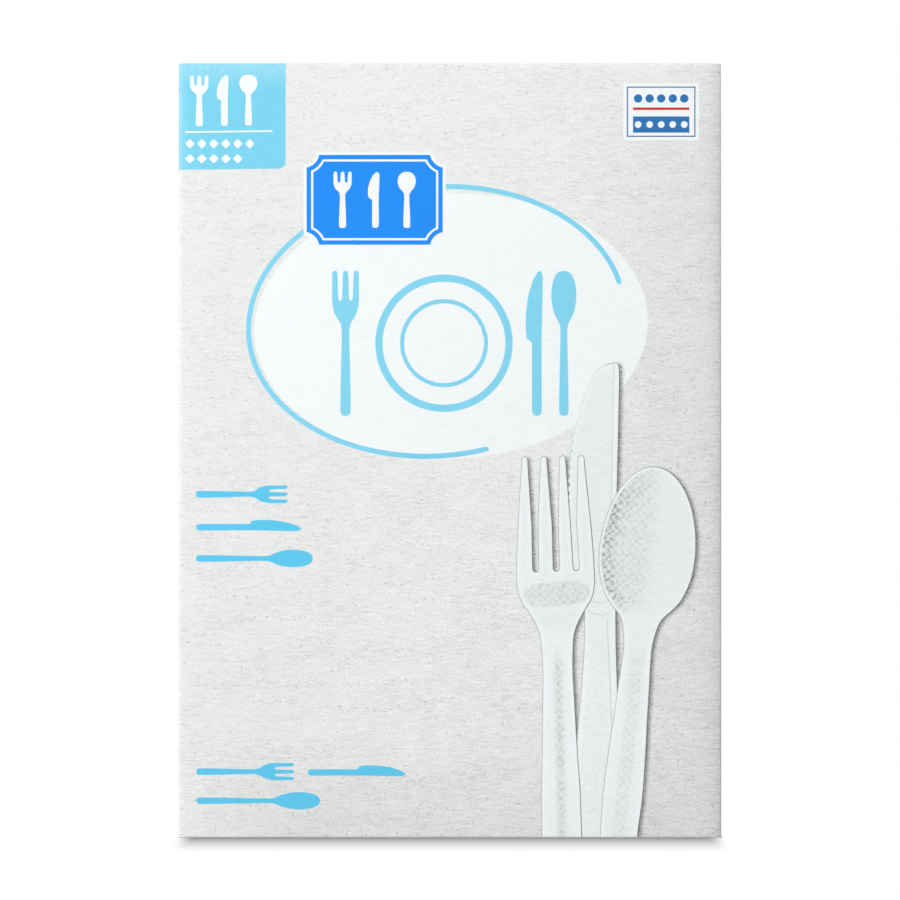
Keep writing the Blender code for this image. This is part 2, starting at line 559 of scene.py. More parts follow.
def side_fold(start, length, steps=FOLD_STEPS):
    """Grid lines round a side fold, leaving out the line where it begins."""
    return start + np.linspace(0, length, steps + 1)[1:]


right_fold = side_fold(front_start, EIGHTH_TURN)
middle = panel_lines(-LONG_REACH, LONG_REACH, PRINT_PITCH, FINE_COLUMNS)
across = np.concatenate([-right_fold[::-1], [-front_start], middle, [front_start], right_fold])
front = Sheet(right=(1, 0), out=(0, -1), away=HALF_DEPTH)
build_panel(
    front, across, (front_start, front_start), 0.0, LONG_REACH, EIGHTH_TURN,
    lambda first, last: panel_lines(first, last, PRINT_PITCH, FINE_ROWS),
)
front_panel, front_flat = front.make("front_panel")

# %% [markdown]
# The side panels are narrower and end in short flaps, two boards deep. The left one stops at a
# raw edge, where the tube is glued to a strip of the back panel. All of them carry plain print, so
# their grids are wide.

# %% Right panel
PLAIN_PITCH = 3.0


def plain_lines(first, last):
    """Grid lines up a panel that carries no drawing."""
    return panel_lines(first, last, PLAIN_PITCH)


# On the blank a side panel's middle is this far from the front's
side_shift = front_start + side_start + 2 * EIGHTH_TURN
short_fold = QUARTER_TURN + LEDGE

middle = panel_lines(-SHORT_REACH, SHORT_REACH, PLAIN_PITCH)
front_side = side_fold(side_start, EIGHTH_TURN)
across = np.concatenate([-front_side[::-1], [-side_start], middle, [side_start], front_side])
right = Sheet(right=(0, 1), out=(1, 0), away=HALF_WIDTH, blank_shift=side_shift)
build_panel(
    right, across, (side_start, side_start), 2 * BOARD, SHORT_REACH, short_fold, plain_lines
)
right_panel, right_flat = right.make("right_panel")

# %% Left panel
across = np.concatenate([[-JOINT_EDGE], middle, [side_start], front_side])
left = Sheet(right=(0, -1), out=(-1, 0), away=HALF_WIDTH, blank_shift=-side_shift)
build_panel(
    left, across, (side_start, side_start), 2 * BOARD, SHORT_REACH, short_fold, plain_lines
)
# The raw edge at the glued joint, which stands one board proud of the strip beside it
corner_top = HALF_HEIGHT - CORNER_DROP
fold_foot = HALF_HEIGHT - FOLD_RADIUS - 2 * BOARD
edge_up = np.concatenate([[-corner_top], plain_lines(-fold_foot, fold_foot), [corner_top]])[:, None]
left.patch(-JOINT_EDGE, edge_up, np.array([-BOARD, 0]), -JOINT_EDGE, edge_up, True)
for end in (-1, 1):
    rim = np.array([[-BOARD, 0], [-CORNER_INNER, -CORNER_INNER]])[::end]
    rim_out = np.array([[-JOINT_EDGE, -JOINT_EDGE], [-SHORT_REACH, -SHORT_REACH]])[::end]
    left.patch(rim_out, end * corner_top, rim, -JOINT_EDGE, end * corner_top, True)
left_panel, left_flat = left.make("left_panel")

# %% Back panel
strip_start = front_start - BOARD
strip_fold = side_fold(strip_start, QUARTER_TURN, 2 * FOLD_STEPS)
strip_end = strip_start + QUARTER_TURN + side_start - JOINT_EDGE
middle = panel_lines(-LONG_REACH, LONG_REACH, PLAIN_PITCH)
across = [-right_fold[::-1], [-front_start], middle, [strip_start], strip_fold, [strip_end]]
across = np.concatenate(across)
back_shift = 2 * side_shift
back = Sheet(right=(-1, 0), out=(0, 1), away=HALF_DEPTH, blank_shift=back_shift)
build_panel(
    back, across, (front_start, strip_start), BOARD, LONG_REACH, short_fold, plain_lines
)
back_panel, back_flat = back.make("back_panel")

# %% [markdown]
# ## The outer flaps
#
# Top and bottom are closed by the front panel's own flaps, glued down over the others. Their
# cut edges show: one board thick at the back, two layers deep at the sides.

# %% Outer flaps
def build_flap(name, end):
    """The front panel's flap at one end, from the middle of its fold to its raw edge.

    It carries on the front panel's fold, then lies flat. The raw edge steps down at its back, and
    its sides go down over the layers glued under it.
    """
    start = HALF_HEIGHT - FOLD_RADIUS
    fold = np.linspace(EIGHTH_TURN, QUARTER_TURN, FOLD_STEPS + 1)
    near_fold = [(0, width, fine) for width, fine in CLOSE_LINES]
    flat = stations(0, side_start + FLAP_EDGE, PLAIN_PITCH, near_fold)
    run = np.concatenate([fold, QUARTER_TURN + flat[1:]]) + start
    height, depth = bend(run, start)
    across = panel_lines(-LONG_REACH, LONG_REACH, PLAIN_PITCH)
    sheet = Sheet(right=(1, 0), out=(0, -1), away=HALF_DEPTH)

    def rows(*values):
        """Columns of places along the flap, turned over for the bottom one."""
        return [np.array(v)[::end, None] * sign for v, sign in zip(values, (end, 1, end))]

    edge_run = run[-1] + np.array([0, BOARD, BOARD + SHORT_REACH - FLAP_EDGE])
    edge_height = HALF_HEIGHT - np.array([0, BOARD, BOARD])
    edge_depth = -HALF_DEPTH - np.array([FLAP_EDGE, FLAP_EDGE, SHORT_REACH])
    for part, raw in (((height, depth, run), False), ((edge_height, edge_depth, edge_run), True)):
        up, out, along = rows(*part)
        sheet.patch(across, up, out, across, along, raw)
    pairs = ((height, edge_height), (depth, edge_depth), (run, edge_run))
    up, out, along = rows(*[np.append(flap, edge[1:]) for flap, edge in pairs])
    under = np.full_like(up, end * (HALF_HEIGHT - 2 * BOARD))
    for side in (-1, 1):
        wall = np.concatenate([up, under][::side], 1)
        sheet.patch(side * LONG_REACH, wall, out, side * LONG_REACH, along, True)
    return sheet.make(name)


top_flap, top_flat = build_flap("top_flap", 1)
bottom_flap, bottom_flat = build_flap("bottom_flap", -1)

# %% [markdown]
# ## Drawing the print
#
# The real print is ink in flat shapes. Each shape here is a closed outline, and every point of
# the front knows how far inside the outline it lies. The finish turns that distance into ink
# with a crisp edge, so no picture is needed. The flat coordinates are millimetres: across from
# the middle of the front, and up from the foot.

# %% Distances to outlines
# Past this distance the exact value doesn't matter
FAR = 9.0
# How many pairs of a point and a side are worked out at once
BLOCK = 3_000_000


def gap_to(points, path):
    """How far each point is from an open path.

    For the side from a to b the nearest point is a + h (b - a), where h is
    (p - a).(b - a) / |b - a|^2, kept between 0 and 1.
    """
    start, side = path[:-1], np.diff(path, axis=0)
    length = np.maximum((side**2).sum(1), 1e-12)
    gaps = np.full(len(points), FAR)
    close = np.all((points > path.min(0) - FAR / 2) & (points < path.max(0) + FAR / 2), 1)
    for block in np.array_split(np.flatnonzero(close), 1 + close.sum() * len(side) // BLOCK):
        away = points[block][:, None] - start
        share = np.clip((away * side).sum(2) / length, 0, 1)
        gaps[block] = np.sqrt(((away - share[..., None] * side) ** 2).sum(2)).min(1)
    return gaps


def inside(points, outline):
    """How far each point is inside a closed outline, negative outside it.

    A point is inside when a ray from it to the right crosses the outline an odd number of times.
    """
    path = np.vstack([outline, outline[:1]])
    odd = np.zeros(len(points), bool)
    x, y = points.T
    for (ax, ay), (bx, by) in zip(path[:-1], path[1:]):
        if ay != by:
            passes = (ay > y) != (by > y)
            odd ^= passes & (x < ax + (y - ay) * (bx - ax) / (by - ay))
    return np.where(odd, 1, -1) * gap_to(points, path)


def union(*distances):
    """The distance inside several shapes together, which is the largest of theirs."""
    return np.maximum.reduce(distances)


# %% Curves
def flow(keys, steps=8):
    """A smooth curve through key points, with no swing where their spacing changes.

    Between two keys it is the cubic that leaves and arrives along the line which joins the keys
    on either side.
    """
    keys = np.asarray(keys, float)
    step = np.linalg.norm(np.diff(keys, axis=0), axis=1)[:, None]
    before = np.vstack([keys[:1], keys[:-1]])
    after = np.vstack([keys[1:], keys[-1:]])
    reach = np.vstack([0 * step[:1], step]) + np.vstack([step, 0 * step[:1]])
    slope = (after - before) / reach
    t = np.linspace(0, 1, steps, endpoint=False)[:, None, None]
    curve = (2 * t**3 - 3 * t**2 + 1) * keys[:-1] + (t**3 - 2 * t**2 + t) * slope[:-1] * step
    curve = curve + (3 * t**2 - 2 * t**3) * keys[1:] + (t**3 - t**2) * slope[1:] * step
    return np.vstack([np.moveaxis(curve, 0, 1).reshape(-1, 2), keys[-1:]])


def arc(centre, radii, start, end, count=24, tilt=0.0):
    """Points on an arc of an ellipse, between two angles in degrees, tilted as a whole."""
    angle = np.radians(np.linspace(start, end, count))
    round_arc = np.stack([radii[0] * np.cos(angle), radii[1] * np.sin(angle)], 1)
    c, s = math.cos(math.radians(tilt)), math.sin(math.radians(tilt))
    return np.asarray(centre) + round_arc @ np.array([(c, s), (-s, c)])


def mirrored(right_side):
    """An outline from its right side, from foot to head, and its mirror image."""
    right_side = np.asarray(right_side, float)
    return np.vstack([right_side, right_side[::-1] * (-1, 1)])


def tines(tips, top, tip_radius, slots, root, slot_radius, waist=None):
    """The line from right to left over every tine of a fork and down into every slot.

    A waist is a height, a half width and each slot's middle there, if the slots' sides bend.
    """
    over = [arc((tip, top - tip_radius), (tip_radius,) * 2, 0, 180, 9) for tip in tips]
    into = [arc((slot, root + slot_radius), (slot_radius,) * 2, 0, -180, 9) for slot in slots]
    if waist:
        height, half, middles = waist
        ends = [[(x + half, height)] for x in middles], [[(x - half, height)] for x in middles]
        into = [np.vstack(part) for part in zip(ends[0], into, ends[1])]
    line = [over[0]]
    for down, up in zip(into, over[1:]):
        line += [down, up]
    return np.vstack(line)


def axes(lean):
    """The directions across and along something that leans to the right by so many degrees."""
    turn = math.radians(lean)
    return np.array([(math.cos(turn), -math.sin(turn)), (math.sin(turn), math.cos(turn))])


def placed(outline, foot, scale, lean=0.0):
    """A sign's outline, set with its foot at a point, scaled across and along, and turned."""
    return np.asarray(foot) + (outline * scale) @ axes(lean)


# %% [markdown]
# ### Signs
#
# Plain signs of a fork, a knife and a spoon, the kind seen at any picnic place, are printed at
# several sizes: upright on the tile, the oval and the plaque, and lying in rows on the ground.

# %% Outlines of the signs, twenty long and four wide
fork_side = flow([(0, 0), (0.6, 0.15), (0.78, 0.8), (0.7, 6), (0.58, 11.8), (0.8, 12.8)], 6)
fork_head = flow([(0.8, 12.8), (1.6, 14.0), (2.0, 15.6), (2.02, 17.5), (2.02, 19.5)], 6)
fork_tines = tines((1.62, 0, -1.62), 20, 0.40, (0.81, -0.81), 15.8, 0.28)
left_side = np.vstack([fork_side, fork_head[1:]])[::-1] * (-1, 1)
SIGN_FORK = np.vstack([fork_side, fork_head[1:], fork_tines, left_side])
SIGN_KNIFE = np.array([
    (0, 0), (0.6, 0.15), (0.75, 0.8), (0.7, 9.8), (0.9, 19.0), (0.7, 19.8), (0.3, 20),
    (-0.5, 18.9), (-1.25, 16.8), (-1.65, 14.2), (-1.7, 12.0), (-1.5, 10.6), (-0.75, 10.1),
    (-0.75, 0.8), (-0.6, 0.15),
])
SIGN_SPOON = mirrored(
    flow([(0, 0), (0.6, 0.15), (0.76, 0.8), (0.68, 6), (0.56, 11.4), (0.7, 12.6), (1.5, 14.0),
          (2.0, 16.0), (1.85, 18.1), (1.1, 19.6), (0, 20)], 5)
)
print("sign outlines:", len(SIGN_FORK), len(SIGN_KNIFE), len(SIGN_SPOON), "points")

# %% Corner tile
print_points = front_flat + (0, HALF_HEIGHT)
# The tile's right edge and foot, the radius of its corner, and how far it runs round the folds
TILE_EDGE, TILE_FOOT, TILE_CORNER, TILE_BLEED = -38.5, 156.3, 1.5, 3.0
# Its foot rises to the right by this share
SKEW = 0.012


def tile_distance(flat):
    """How far inside the blue corner tile a point lies. The tile runs on past both folds."""
    across, up = flat.T
    foot = TILE_FOOT + SKEW * (across - TILE_EDGE)
    right, below = TILE_EDGE - across, up - foot
    short = np.minimum(right - TILE_CORNER, 0), np.minimum(below - TILE_CORNER, 0)
    rounded = TILE_CORNER - np.hypot(*short)
    fold = EIGHTH_TURN + TILE_BLEED - FOLD_RADIUS
    past_left = across + HALF_WIDTH + fold
    past_top = HEIGHT + fold - up
    edges = np.minimum(np.minimum(right, below), np.minimum(past_left, past_top))
    in_corner = (right < TILE_CORNER) & (below < TILE_CORNER)
    return np.minimum(edges, np.where(in_corner, rounded, edges))


tile = tile_distance(print_points)
print(f"tile on {(tile > 0).mean():.0%} of the front's points")

# %% White ink: signs on the tile, the oval and the badge
def signs(lean, *rows):
    """Distances inside signs that lean alike: rows of outline, foot, and scale across and along."""
    return union(*[inside(print_points, placed(row[0], row[1:3], row[3:], lean)) for row in rows])


tile_signs = signs(
    0,
    (SIGN_FORK, -58.7, 166.2, 1.05, 0.595),
    (SIGN_KNIFE, -52.8, 166.3, 1.05, 0.595),
    (SIGN_SPOON, -47.2, 166.4, 1.05, 0.595),
)
LOZENGE = 1.15
lozenges = [
    LOZENGE - np.abs(print_points[:, 0] - x) - np.abs(print_points[:, 1] - z)
    for z, last in ((162.1, -45), (158.6, -48))
    for x in np.arange(-60.9, last, 2.8)
]
oval = inside(print_points, arc((0.15, 119.5), (46.0, 31.0), 0, 357, 120, 2.5))
badge_corners = np.array([(40.4, 162.9), (58.1, 162.9), (58.1, 176.3), (40.4, 176.3)])
badge_plate = inside(print_points, badge_corners)
white = union(oval, badge_plate, tile_signs, *lozenges)
print(f"white ink on {(white > 0).mean():.0%} of the front's points")

# %% Blue ink: the ring, the place setting and the lying signs
RING_HALF = 0.60
ring = RING_HALF - gap_to(print_points, arc((-3.26, 120.6), (44.0, 31.4), 10, 282, 110, 5.0))
# The plate is two circles: the radius and half the width of each
PLATE = (-1.5, 115.5)
CIRCLES = ((15.2, 0.85), (9.8, 0.5))
from_plate = np.hypot(*(print_points - PLATE).T)
plate = union(*[half - np.abs(from_plate - radius) for radius, half in CIRCLES])
setting = signs(
    0,
    (SIGN_FORK, -24.5, 98.5, 1.55, 1.7),
    (SIGN_KNIFE, 20.2, 98.5, 1.55, 1.7),
    (SIGN_SPOON, 26.5, 98.5, 1.45, 1.7),
)
lying = signs(
    90,
    (SIGN_FORK, -59.5, 80.2, 1.02, 1.08),
    (SIGN_KNIFE, -59.5, 72.5, 1.02, 1.24),
    (SIGN_SPOON, -59.5, 65.2, 1.02, 1.37),
    (SIGN_FORK, -59.4, 15.4, 1.0, 1.15),
    (SIGN_KNIFE, -33.4, 15.2, 1.0, 1.15),
    (SIGN_SPOON, -59.4, 8.6, 1.0, 1.45),
)
blue = union(ring, plate, setting, lying)
print(f"blue ink on {(blue > 0).mean():.0%} of the front's points")

# %% Signs on the plaque and dots on the badge
plaque_signs = signs(
    0,
    (SIGN_FORK, -25.2, 142.4, 1.05, 0.66),
    (SIGN_KNIFE, -17.5, 142.4, 1.05, 0.66),
    (SIGN_SPOON, -10.2, 142.4, 1.05, 0.66),
)


def dot_row(height, radius):
    """Five dots side by side on the badge."""
    centres = [(x, height) for x in np.arange(43.85, 56, 2.7)]
    return union(*[radius - np.hypot(*(print_points - centre).T) for centre in centres])


upper_dots, lower_dots = dot_row(172.7, 1.0), dot_row(166.6, 0.8)
print("badge: two rows of five dots")

# %% [markdown]
# ### Printed cutlery
#
# Lower right on the front is a picture of the contents: a fork, a knife and a spoon, fanned out
# and cut off by the foot. Each is an outline in directions of its own, across and along it. Those
# two and the distance inside stay with every point, so that the finish can shade rims, grooves
# and bowls.

# %% Outlines of fork, knife and spoon
fork_right = flow([(4.85, -6), (4.66, 11), (4.33, 18), (3.86, 32), (3.66, 39), (3.95, 46),
                   (4.45, 48.4), (5.45, 50.7), (6.8, 53), (8.3, 55.4), (9.0, 57.7), (9.25, 60.3),
                   (8.9, 69.4), (8.2, 78.8), (7.5, 87.3)])
fork_points = tines((6.6, 2.25, -2.15, -6.6), 89.3, 0.85, (4.85, 0.2, -4.62), 62.4, 0.58,
                    (73.0, 0.55, (4.47, 0.18, -4.58)))
FORK = np.vstack([fork_right, fork_points, fork_right[::-1] * (-1, 1)])
knife_back = flow([(5.3, -6), (5.2, 10), (5.0, 24.5), (4.7, 35), (4.15, 46), (3.9, 54),
                   (3.7, 58), (3.6, 75), (3.6, 106), (3.4, 110.2), (2.7, 111.2), (1.9, 111.1)])
knife_edge = flow([(1.9, 111.1), (-0.4, 110.4), (-2.25, 108.9), (-2.9, 107.9), (-4.2, 104.9),
                   (-5.75, 99.8), (-7.4, 94.4), (-7.95, 90), (-8.2, 85), (-8.15, 75), (-7.6, 64),
                   (-5.5, 58), (-3.8, 54), (-3.6, 50), (-3.55, 44), (-3.95, 35), (-4.6, 24.5),
                   (-4.8, 12), (-5, -6)])
KNIFE = np.vstack([knife_back, knife_edge[1:]])
spoon_side = [(4.5, -6), (4.53, 2.1), (4.78, 10), (4.45, 20.9), (4.07, 27.9), (3.8, 35),
              (3.46, 44.5), (4.13, 49.1), (5.07, 51.5), (7.31, 54), (9.2, 56.6), (10.9, 61.5)]
bowl_head = arc((0, 66.5), (11.4, 20.7), 0, 90, 12)
SPOON = mirrored(flow(np.vstack([spoon_side, bowl_head])))
# The drawn light comes from the upper left, so every piece throws its shadow this way
CAST = np.array((0.85, -0.2))


def drawn(outline, foot, lean):
    """A piece of cutlery: (across, along, inside) for each point, and inside for its shadow."""
    directions = axes(lean)
    own = (print_points - foot) @ directions.T
    shaded = (print_points - CAST - foot) @ directions.T
    return np.column_stack([own, inside(own, outline)]), inside(shaded, outline)


fork, fork_cast = drawn(FORK, (26.1, 0), -1.364)
knife, knife_cast = drawn(KNIFE, (33.7, 0), 1.3)
spoon, spoon_cast = drawn(SPOON, (39.33, 0), 5.81)
print("cutlery outlines:", len(FORK), len(KNIFE), len(SPOON), "points")

# %% Write the print onto the sheets
def write_vectors(piece, name, *columns):
    """Three values for every point of a piece, under one name."""
    values = np.column_stack(columns).astype(np.float32)
    made = piece.data.attributes.new(name, "FLOAT_VECTOR", "POINT")
    made.data.foreach_set("vector", values.ravel())


write_vectors(front_panel, "inks", tile, white, blue)
write_vectors(front_panel, "emblem", plaque_signs, upper_dots, lower_dots)
write_vectors(front_panel, "fork", fork)
write_vectors(front_panel, "knife", knife)
write_vectors(front_panel, "spoon", spoon)
write_vectors(front_panel, "cast", fork_cast, knife_cast, spoon_cast)
plain_pieces = {
    right_panel: right_flat,
    left_panel: left_flat,
    back_panel: back_flat,
    top_flap: top_flat,
    bottom_flap: bottom_flat,
}
for piece, flat in plain_pieces.items():
    tile = tile_distance(flat + (0, HALF_HEIGHT))
    nowhere = np.full_like(tile, -FAR)
    write_vectors(piece, "inks", tile, nowhere, nowhere)
print(f"print written onto {1 + len(plain_pieces)} sheets")

# %% [markdown]
# ## Finishes
#
# The ground is a pale print of coarse paper: fine grain, thin wavy wisps along the sheet and a
# few darker flecks. It runs on over every fold, so it is fed with the flat coordinates of the
# blank, and as both finishes use it, it is a node group of its own.

# %% Paper pattern
def paper_group():
    """The pattern as a factor for the colour, the share of dark fibre, and the fine grain."""
    group, r, given, result = new_group(
        "paper pattern",
        {"Flat": "NodeSocketVector"},
        {"Shade": "NodeSocketFloat", "Fibre": "NodeSocketFloat", "Grain": "NodeSocketFloat"},
    )
    flat = given["Flat"]
    # Fine grain, and a wave that bends all the rest
    grain = r.minus(r.noise(r.stretch(flat, (0.8, 1.0, 1.0)), 2500.0, 1.0, 0.6), 0.5)
    wave = r.times_plus(r.noise(flat, 220.0, 2.0), 0.0024, -0.0012)
    moved = {0: flat, 1: r.join(0.0, wave)}
    bent = r.node("ShaderNodeVectorMath", moved, operation="ADD").outputs[0]
    # Thin wisps, stronger in some broad areas than in others
    broad = r.noise(r.stretch(flat, (55.0, 160.0, 1.0)), 1.0, 3.0)
    wisps = r.noise(r.stretch(bent, (330.0, 2400.0, 1.0)), 1.0, 3.0, 0.7)
    wisp = r.times(r.step(wisps, 0.53, 0.33), r.step(broad, 0.60, 0.40, 0.35, 1.0))
    # Dark flecks, in loose rows
    rows = r.step(r.noise(r.stretch(bent, (50.0, 520.0, 1.0)), 1.0, 1.0), 0.46, 0.62)
    specks = r.noise(r.stretch(bent, (1100.0, 1900.0, 1.0)), 1.0, 1.0)
    flecks = r.step(r.times_plus(rows, 0.10, specks), 0.68, 0.80)
    fibre = r.most(r.times(wisp, 0.55), flecks)
    # The factor is about 1, changed by the grain, by long streaks, wisps, flecks and broad areas
    streaks = r.noise(r.stretch(bent, (260.0, 1450.0, 1.0)), 1.0, 2.0, 0.6)
    shade = r.times_plus(grain, 0.36, 1.011)
    shade = r.times_plus(r.minus(streaks, 0.5), 0.26, shade)
    shade = r.times_plus(fibre, -0.07, shade)
    shade = r.times_plus(r.minus(broad, 0.5), 0.06, shade)
    for name, value in (("Shade", shade), ("Fibre", fibre), ("Grain", grain)):
        r.feed(result.inputs[name], value)
    return group


PAPER = paper_group()
print(f"{PAPER.name}: {len(PAPER.nodes)} nodes")

# %% [markdown]
# ### Worn folds
#
# Ink cracks along a fold and leaves small pale specks of bare board. The box tells where the
# folds are, so nothing has to be painted by hand: the specks are a noise, cut off at a limit that
# is lower close to a fold.

# %% Worn folds
def wear_group():
    """Where ink has cracked along a fold: 1 in small specks close to the fold, 0 elsewhere.

    On a panel one of the distances to the box's faces is nothing, and the next smallest is the
    distance to the nearest fold, which is the middle one of the three.
    """
    group, r, given, result = new_group(
        "fold wear", {"Place": "NodeSocketVector"}, {"Worn": "NodeSocketFloat"}
    )
    x, y, z = r.split(given["Place"])
    from_x = r.minus(high.x, r.size(x))
    from_y = r.minus(high.y, r.size(y))
    from_z = r.least(z, r.minus(high.z, z))
    nearer, farther = r.least(from_x, from_y), r.most(from_x, from_y)
    fold = r.most(nearer, r.least(farther, from_z))
    close = r.step(fold, 1.1 * MM, 0.3 * MM)
    specks = r.noise(given["Place"], 1500.0, 3.0, 0.65)
    limit = r.times_plus(close, -0.20, 0.82)
    r.feed(result.inputs["Worn"], r.step(r.minus(specks, limit), 0.0, 0.05))
    return group


WEAR = wear_group()
print(f"{WEAR.name}: {len(WEAR.nodes)} nodes")

# %% [markdown]
# ### Inks
#
# Ink lies on board as a flat, even film. Here a film is one mix of colours, with a mask made from
# the distance inside its shape, so every ink is one line of code and later lines lie on top. What
# all sheets share, the ground, the tile, the wear and the raw edges, is in two helpers.

# %% Colours of the inks
GROUND = (0.800, 0.812, 0.794, 1)
FIBRE = (0.645, 0.642, 0.622, 1)
WHITE_INK = (0.895, 0.938, 0.948, 1)
TILE_INK = (0.188, 0.632, 0.835, 1)
RING_INK = (0.225, 0.665, 0.870, 1)
SIGN_INK = (0.100, 0.580, 0.860, 1)
PLAQUE_INK = (0.000, 0.262, 0.930, 1)
NAVY_INK = (0.010, 0.070, 0.300, 1)
BADGE_INK = (0.012, 0.165, 0.460, 1)
RED_INK = (0.620, 0.018, 0.025, 1)
# The tile's colour under the painted sheen near the folds
TILE_SHEEN = (0.52, 0.83, 0.93, 1)
SHADOW_INK = (0.14, 0.135, 0.135, 1)
BOARD_CORE = (0.52, 0.49, 0.43, 1)
WORN_BOARD = (0.86, 0.85, 0.82, 1)
# Half the width over which an ink's edge fades, in millimetres
SOFT = 0.07

# %% Laying ink, and how a finish starts and ends
WEAR_STRENGTH = 0.45
ROUGHNESS = 0.42
# How strongly the grain stands out, and how high it is
RELIEF = {"Strength": 0.12, "Distance": 0.1 * MM}


def ink(r, under, distance, colour):
    """Lays an ink over what is there, wherever the distance inside its shape is positive."""
    return r.mix(r.step(distance, -SOFT, SOFT), under, colour)


def start_finish(name):
    """A new material with its recipe, the paper pattern, the ground and the tile's ink on it."""
    finish = bpy.data.materials.new(name)
    finish.use_nodes = True
    finish.node_tree.nodes.clear()
    r = Recipe(finish.node_tree)
    paper = r.node("ShaderNodeGroup", node_tree=PAPER)
    r.feed(paper.inputs["Flat"], r.attribute("blank", "Vector"))
    inks = r.split(r.attribute("inks", "Vector"))
    colour = r.mix(paper.outputs["Fibre"], GROUND, FIBRE)
    colour = ink(r, colour, inks[0], TILE_INK)
    return finish, r, paper.outputs, inks, colour


def end_finish(r, paper, colour, strength):
    """Shades the colour by the pattern at some strength, and adds worn folds and raw edges."""
    shade = r.times_plus(r.minus(paper["Shade"], 1.0), strength, 1.0)
    colour = r.shade(colour, shade)
    place = r.node("ShaderNodeTexCoord").outputs["Object"]
    wear = r.node("ShaderNodeGroup", node_tree=WEAR)
    r.feed(wear.inputs["Place"], place)
    worn = r.times(wear.outputs["Worn"], WEAR_STRENGTH)
    colour = r.mix(worn, colour, WORN_BOARD)
    # The cut board shows thin layers, stacked along the height
    layers = r.times_plus(r.noise(r.stretch(place, (900.0, 900.0, 6000.0)), 1.0, 3.0), 0.7, 0.65)
    core = r.shade(BOARD_CORE, layers)
    colour = r.mix(r.attribute("raw"), colour, core)
    bump = r.node("ShaderNodeBump", {"Height": paper["Grain"], **RELIEF})
    surface = r.node("ShaderNodeBsdfPrincipled", {"Base Color": colour, "Roughness": ROUGHNESS})
    r.feed(surface.inputs["Normal"], bump.outputs[0])
    r.node("ShaderNodeOutputMaterial", {0: surface.outputs[0]})


# %% Plain print for the sides, back and ends
# How much of its strength the pattern keeps under the tile's ink
TILE_KEEPS = 0.6
plain_print, r, paper, inks, colour = start_finish("plain print")
end_finish(r, paper, colour, r.step(inks[0], -SOFT, SOFT, 1.0, TILE_KEEPS))
print(f"{plain_print.name}: {len(plain_print.node_tree.nodes)} nodes")

# %% [markdown]
# ### The front's print
#
# The front has a finish of its own, which reads what the sheet carries at each point: distances
# inside the drawn shapes, and the place on the blank. Boxes and straight lines are so plain that
# the nodes work them out from the place alone, which keeps their corners sharp.

# %% What the front's print reads
front_print, r, paper, inks, colour = start_finish("front print")
emblem = r.split(r.attribute("emblem", "Vector"))
cast = r.split(r.attribute("cast", "Vector"))
fork_own = r.split(r.attribute("fork", "Vector"))
knife_own = r.split(r.attribute("knife", "Vector"))
spoon_own = r.split(r.attribute("spoon", "Vector"))
blank = r.attribute("blank", "Vector")
flat = r.node("ShaderNodeVectorMath", {0: blank}, operation="SCALE")
flat.inputs["Scale"].default_value = 1 / MM
left, up = r.split(flat.outputs[0])[:2]
stray = r.noise(blank, 560.0, 2.0, 0.6)
tremble = r.noise(blank, 730.0, 2.0, 0.6)

# %% Boxes on the front
def box_distance(r, middle, halves, skew=0.0, notch=0.0):
    """How far inside an upright box a point is, when the box's foot rises by skew to the right.

    A notch is a quarter circle of that radius which is missing from each corner: the distance to
    it is the distance from the corner less the radius.
    """
    across = r.minus(left, middle[0])
    along = r.minus(up, middle[1] - HALF_HEIGHT)
    along = r.times_plus(across, -skew, along)
    beside = r.minus(halves[0], r.size(across))
    above = r.minus(halves[1], r.size(along))
    within = r.least(beside, above)
    if not notch:
        return within
    squares = r.times_plus(above, above, r.times(beside, beside))
    return r.least(within, r.minus(r.maths("SQRT", squares), notch))


# %% Ground and tile
# Painted light and shade: the ground and the tile are made a little lighter in the middle and
# darker towards the right and the foot, as less light reaches those parts
RIGHT_PAINTED_SHADE, FOOT_PAINTED_SHADE = 0.075, 0.085
painted_light_and_shade = r.step(left, -50.0, -5.0, 1.015, 1.04)
shade_to_right = r.times(r.step(left, 20.0, 62.0), r.step(up, 91.0, 76.0, 0.3, 1.0))
shade_to_foot = r.times(r.step(up, -62.0, -90.0), r.step(r.size(left), 64.0, 35.0))
painted_light_and_shade = r.minus(painted_light_and_shade, r.times(shade_to_right, RIGHT_PAINTED_SHADE))
painted_light_and_shade = r.minus(painted_light_and_shade, r.times(shade_to_foot, FOOT_PAINTED_SHADE))
# A painted sheen: the tile is lighter close to the top and left folds, where they catch the light
painted_sheen = r.most(r.step(up, 83.5, 91.0), r.step(left, -60.5, -64.0, 0.0, 0.7))
painted_sheen = r.times(painted_sheen, r.times(tremble, 0.75))
painted_sheen = r.times(painted_sheen, r.step(inks[0], -SOFT, SOFT))
colour = r.mix(painted_sheen, colour, TILE_SHEEN)
colour = r.shade(colour, painted_light_and_shade)

# %% Oval, ring, plaque and badge, from the lowest ink to the highest
colour = ink(r, colour, inks[1], WHITE_INK)
colour = ink(r, colour, box_distance(r, (-51.8, 164.95), (10.2, 0.19), SKEW), WHITE_INK)
colour = ink(r, colour, inks[2], r.mix(r.step(up, -4.0, 0.0), SIGN_INK, RING_INK))
plaque = box_distance(r, (-17.7, 149.0), (16.6, 11.2), notch=3.0)
plaque_line = r.size(r.minus(plaque, 2.0))
colour = ink(r, colour, plaque, WHITE_INK)
colour = ink(r, colour, r.minus(plaque, 0.7), PLAQUE_INK)
colour = ink(r, colour, r.minus(0.25, plaque_line), WHITE_INK)
colour = ink(r, colour, emblem[0], WHITE_INK)
frame_line = r.size(box_distance(r, (49.25, 169.6), (7.9, 5.75)))
colour = ink(r, colour, r.minus(0.13, frame_line), NAVY_INK)
colour = ink(r, colour, emblem[1], BADGE_INK)
colour = ink(r, colour, box_distance(r, (49.25, 170.3), (6.6, 0.3)), RED_INK)
colour = ink(r, colour, box_distance(r, (49.25, 166.6), (6.6, 1.9)), BADGE_INK)
colour = ink(r, colour, emblem[2], WHITE_INK)

